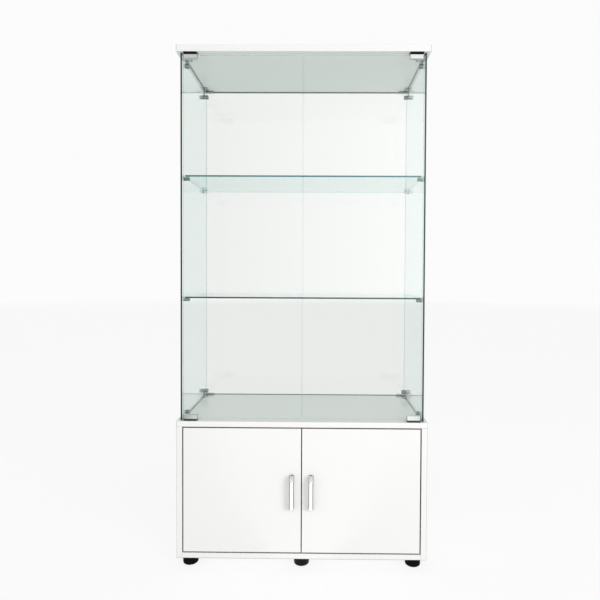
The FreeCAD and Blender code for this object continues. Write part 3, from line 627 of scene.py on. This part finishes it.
def setWorld(look):
    world = bpy.data.worlds.new("daylight")
    world.use_nodes = True
    tree = world.node_tree
    tree.nodes.clear()
    scene.world = world
    way = addNode(tree, "ShaderNodeTexCoord").outputs["Generated"]
    axes = addNode(tree, "ShaderNodeSeparateXYZ", links={"Vector": way}).outputs
    aside = addNode(tree, "ShaderNodeMath", {"operation": "ABSOLUTE"}, {0: axes["X"]})
    sources = {"X": axes["X"], "Y": axes["Y"], "Z": axes["Z"], "aside": aside.outputs[0]}
    ramp = {}
    for name, (axis, span, gives, curve) in look["ramps"].items():
        ramp[name] = addNode(tree, "ShaderNodeMapRange",
                             {"From Min": span[0], "From Max": span[1], "To Min": gives[0],
                              "To Max": gives[1], "interpolation_type": curve},
                             {"Value": sources[axis]}).outputs[0]
    fill = addNode(tree, "ShaderNodeMath", {"operation": "MULTIPLY_ADD"},
                   {0: ramp["behind"], 1: ramp["low"], 2: ramp["ahead"]})
    near = addNode(tree, "ShaderNodeMix",
                   links={"Factor": ramp["high"], "A": ramp["window"], "B": ramp["top"]})
    bright = addNode(tree, "ShaderNodeMix", {"B": look["windowFar"]},
                     {"Factor": ramp["far"], "A": near.outputs[0]})
    dim = addNode(tree, "ShaderNodeMix", {"B": look["paper"]},
                  {"Factor": ramp["backdrop"], "A": ramp["above"]})
    mirrored = addNode(tree, "ShaderNodeMix",
                       links={"Factor": ramp["facing"], "A": dim.outputs[0],
                              "B": bright.outputs[0]})
    path = addNode(tree, "ShaderNodeLightPath").outputs
    reflected = addNode(tree, "ShaderNodeMix",
                        links={"Factor": path["Is Glossy Ray"], "A": fill.outputs[0],
                               "B": mirrored.outputs[0]})
    through = addNode(tree, "ShaderNodeMix", {"B": look["paperThrough"]},
                      {"Factor": path["Is Transmission Ray"], "A": reflected.outputs[0]})
    strength = addNode(tree, "ShaderNodeMix", {"B": look["paper"]},
                       {"Factor": path["Is Camera Ray"], "A": through.outputs[0]})
    sky = addNode(tree, "ShaderNodeBackground", {"Color": hexToLinear(look["colour"])},
                  {"Strength": strength.outputs[0]})
    addNode(tree, "ShaderNodeOutputWorld", links={"Surface": sky.outputs[0]})


setWorld(daylight)


# A large soft lamp stands to the right of the camera. A small one lights the top board,
# which shades all the rest from it. Neither shows through the glass or in mirrors.
lamps = {
    "softbox": {
        "place": (2.7, -3.0, 1.3),
        "aim": (0.0, 0.0, 0.5),
        "size": (1.8, 1.8),
        "watts": 13,
        "spread": 90,
    },
    "topLight": {
        "place": (0.0, 0.01, 2.5),
        "aim": (0.0, 0.01, 1.6),
        "size": (0.7, 0.3),
        "watts": 3.5,
        "spread": 180,
    },
}


def addLamp(name, look):
    lamp = bpy.data.lights.new(name, "AREA")
    lamp.shape = "RECTANGLE"
    lamp.size, lamp.size_y = look["size"]
    lamp.energy = look["watts"]
    lamp.spread = math.radians(look["spread"])
    stand = bpy.data.objects.new(name, lamp)
    stand.location = look["place"]
    stand.rotation_mode = "QUATERNION"
    way = Vector(look["aim"]) - Vector(look["place"])
    stand.rotation_quaternion = way.to_track_quat("-Z", "Y")
    stand.visible_camera = False
    stand.visible_transmission = False
    stand.visible_glossy = False
    scene.collection.objects.link(stand)


for name, look in lamps.items():
    addLamp(name, look)


# Floor: white paper that shows as bright as the backdrop and takes a faint shadow.
# In mirrors it is bright ahead of the case, dim to the sides and plain behind it.
# The ramps are as in the daylight, along Y, the slant to the side, or the way from the case.
# At their far ends, the glows that are seen, also through glass, meet the backdrop.
floor = {
    "half": 17.0,
    "paper": "#7c7c7c",
    "glowBounced": 0.54,
    "glowBehind": 0.80,
    "ramps": {
        "seen": ("away", (13.0, 17.0), (0.812, 0.845), "LINEAR"),
        "through": ("away", (13.0, 17.0), (0.725, 0.855), "LINEAR"),
        "ahead": ("slant", (0.34, 0.54), (1.25, 0.10), "SMOOTHSTEP"),
        "behind": ("Y", (-0.2, 0.2), (0.0, 1.0), "LINEAR"),
    },
}


def layFloor(look):
    mesh = bpy.data.meshes.new("floor")
    sheet = bmesh.new()
    bmesh.ops.create_grid(sheet, x_segments=1, y_segments=1, size=look["half"])
    sheet.to_mesh(mesh)
    sheet.free()
    material, tree = startMaterial("white_paper")
    paper = addNode(tree, "ShaderNodeBsdfDiffuse", {"Color": hexToLinear(look["paper"])})
    place = addNode(tree, "ShaderNodeTexCoord").outputs["Object"]
    axes = addNode(tree, "ShaderNodeSeparateXYZ", links={"Vector": place}).outputs
    aside = addNode(tree, "ShaderNodeMath", {"operation": "ABSOLUTE"}, {0: axes["X"]})
    depth = addNode(tree, "ShaderNodeMath", {"operation": "ABSOLUTE"}, {0: axes["Y"]})
    slant = addNode(tree, "ShaderNodeMath", {"operation": "DIVIDE"},
                    {0: aside.outputs[0], 1: depth.outputs[0]})
    away = addNode(tree, "ShaderNodeVectorMath", {"operation": "LENGTH"}, {"Vector": place})
    sources = {"Y": axes["Y"], "slant": slant.outputs[0], "away": away.outputs["Value"]}
    ramp = {}
    for name, (axis, span, gives, curve) in look["ramps"].items():
        ramp[name] = addNode(tree, "ShaderNodeMapRange",
                             {"From Min": span[0], "From Max": span[1], "To Min": gives[0],
                              "To Max": gives[1], "interpolation_type": curve},
                             {"Value": sources[axis]}).outputs[0]
    mirrored = addNode(tree, "ShaderNodeMix", {"B": look["glowBehind"]},
                       {"Factor": ramp["behind"], "A": ramp["ahead"]})
    path = addNode(tree, "ShaderNodeLightPath").outputs
    bounced = addNode(tree, "ShaderNodeMix", {"B": look["glowBounced"]},
                      {"Factor": path["Is Diffuse Ray"], "A": ramp["seen"]})
    glossy = addNode(tree, "ShaderNodeMix",
                     links={"Factor": path["Is Glossy Ray"], "A": bounced.outputs[0],
                            "B": mirrored.outputs[0]})
    shown = addNode(tree, "ShaderNodeMix",
                    links={"Factor": path["Is Transmission Ray"], "A": glossy.outputs[0],
                           "B": ramp["through"]})
    glow = addNode(tree, "ShaderNodeEmission", links={"Strength": shown.outputs[0]})
    both = addNode(tree, "ShaderNodeAddShader", links={0: paper.outputs[0], 1: glow.outputs[0]})
    endMaterial(tree, both)
    mesh.materials.append(material)
    ground = bpy.data.objects.new("floor", mesh)
    scene.collection.objects.link(ground)


layFloor(floor)
print("light and floor set")
